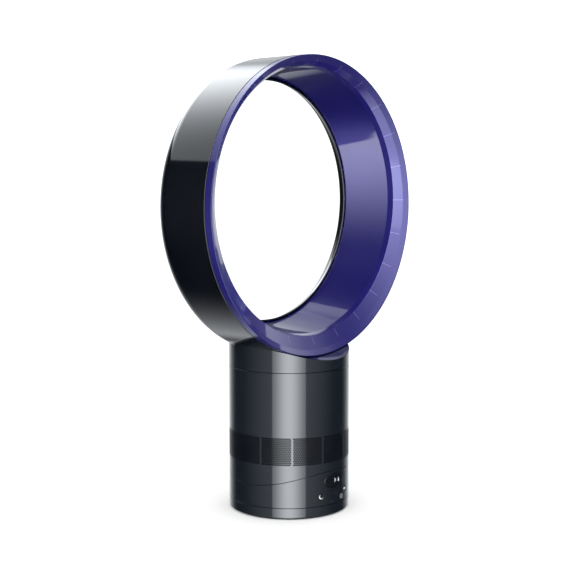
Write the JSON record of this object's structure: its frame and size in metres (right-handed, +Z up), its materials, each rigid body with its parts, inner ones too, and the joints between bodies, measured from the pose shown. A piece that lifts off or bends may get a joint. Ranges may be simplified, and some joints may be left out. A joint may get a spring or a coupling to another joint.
{
  "type": "bladeless fan",
  "caption": "Desk fan that draws air into a round tilting base and blows it out of a slot around a large hollow loop.",
  "frame": {"origin": "middle of the rubber ring's lower face, on the surface that the fan stands on", "axes": "+Z up, -Y towards the front with the controls and the blowing side of the loop, X along the width"},
  "size_m": [0.3588, 0.148, 0.549],
  "materials": {
    "iron_gloss": "dark iron grey moulded plastic, high gloss",
    "loop_black": "near-black moulded plastic, high gloss",
    "loop_violet": "violet-blue pearl lacquer on moulded plastic, satin gloss",
    "key_gloss": null,
    "smoked_window": "smoked clear plastic",
    "grille_black": "dark perforated plastic",
    "black_inner": "black moulded plastic",
    "white_inner": "natural white moulded plastic",
    "grey_inner": "grey moulded plastic",
    "board_green": "circuit board with solder mask",
    "rubber_black": "black rubber",
    "foam_grey": "open-cell silencing foam",
    "screw_steel": "zinc plated steel",
    "runner_steel": "pressed steel",
    "motor_steel": "motor steel",
    "coil_copper": "enamelled copper wire"
  },
  "bodies": {
    "foot": {"foot_shell": "iron_gloss", "foot_pad": "rubber_black", "foot_plate": "black_inner", "foot_screws": "screw_steel", "cord_grommet": "rubber_black", "swivel_gear": "white_inner", "gear_screws": "screw_steel"},
    "lower_body": {"lower_casing": "iron_gloss", "lower_floor": "black_inner", "swivel_bush": "white_inner", "swivel_motor": "motor_steel", "motor_screws": "screw_steel", "control_board": "board_green", "board_components": "black_inner", "tilt_cradle": "black_inner", "cradle_screws": "screw_steel", "key_board": "board_green", "tact_switches": "black_inner", "display_window": "smoked_window", "remote_eye": "smoked_window"},
    "pinion": {"swivel_pinion": "white_inner"},
    "power_key": {"power_button": "key_gloss"},
    "timer_key": {"timer_button": "key_gloss"},
    "swivel_key": {"swivel_button": "key_gloss"},
    "airflow_key": {"airflow_rocker": "key_gloss"},
    "main_body": {"main_casing": "iron_gloss", "intake_grille": "grille_black", "tilt_shoe": "black_inner", "tilt_runners": "runner_steel", "runner_screws": "screw_steel", "intake_floor": "black_inner", "intake_foam": "foam_grey", "inlet_bell": "white_inner", "inlet_seal": "rubber_black", "housing_mounts": "rubber_black", "fan_housing": "white_inner", "outlet_seal": "rubber_black", "diffuser": "white_inner", "motor_cup": "grey_inner", "motor_dome": "grey_inner", "motor_stator": "motor_steel", "motor_coils": "coil_copper", "motor_bearings": "motor_steel", "neck_ring": "black_inner", "neck_screws": "screw_steel"},
    "rotor": {"rotor_shaft": "motor_steel", "rotor_magnet": "motor_steel", "impeller": "grey_inner", "impeller_nut": "screw_steel"},
    "nozzle": {"nozzle_collar": "iron_gloss", "nozzle_spigot": "black_inner", "spigot_seal": "rubber_black", "collar_screws": "screw_steel", "nozzle_outer_shell": "loop_black", "nozzle_inner_shell": "loop_violet", "nozzle_seal": "rubber_black", "slot_spacers": "loop_violet"}
  },
  "joints": [
    {"name": "oscillation", "type": "hinge", "parent": "foot", "child": "lower_body", "pos_m": [0, 0, 0.02], "axis": [0, 0, 1], "range_deg": [-45, 45]},
    {"name": "pinion_spin", "type": "hinge", "parent": "lower_body", "child": "pinion", "pos_m": [0, 0.0375, 0.032], "axis": [0, 0, 1], "range_deg": [-181, 181]},
    {"name": "tilt", "type": "hinge", "parent": "lower_body", "child": "main_body", "pos_m": [0, 0, 0.217], "axis": [1, 0, 0], "range_deg": [-10, 10]},
    {"name": "impeller_spin", "type": "hinge", "parent": "main_body", "child": "rotor", "pos_m": [0, 0, 0.13], "axis": [0, 0, 1], "continuous": true},
    {"name": "loop_lock", "type": "hinge", "parent": "main_body", "child": "nozzle", "pos_m": [0, 0, 0.18], "axis": [0, 0, 1], "range_deg": [-18, 0]},
    {"name": "power_press", "type": "slide", "parent": "lower_body", "child": "power_key", "axis": [-0.1908, 0.9816, 0], "range_m": [0, 0.0008], "stiffness_N_per_m": 900, "springref_m": -0.001},
    {"name": "timer_press", "type": "slide", "parent": "lower_body", "child": "timer_key", "axis": [0.289, 0.9573, 0], "range_m": [0, 0.0008], "stiffness_N_per_m": 900, "springref_m": -0.001},
    {"name": "swivel_press", "type": "slide", "parent": "lower_body", "child": "swivel_key", "axis": [-0.3156, 0.9489, 0], "range_m": [0, 0.0008], "stiffness_N_per_m": 900, "springref_m": -0.001},
    {"name": "airflow_rock", "type": "hinge", "parent": "lower_body", "child": "airflow_key", "pos_m": [0, -0.0675, 0.042], "axis": [0, 0, 1], "range_deg": [-2, 2], "stiffness_Nm_per_rad": 0.2}
  ],
  "couplings": [
    {"joint": "pinion_spin", "follows": "oscillation", "ratio": 4}
  ]
}
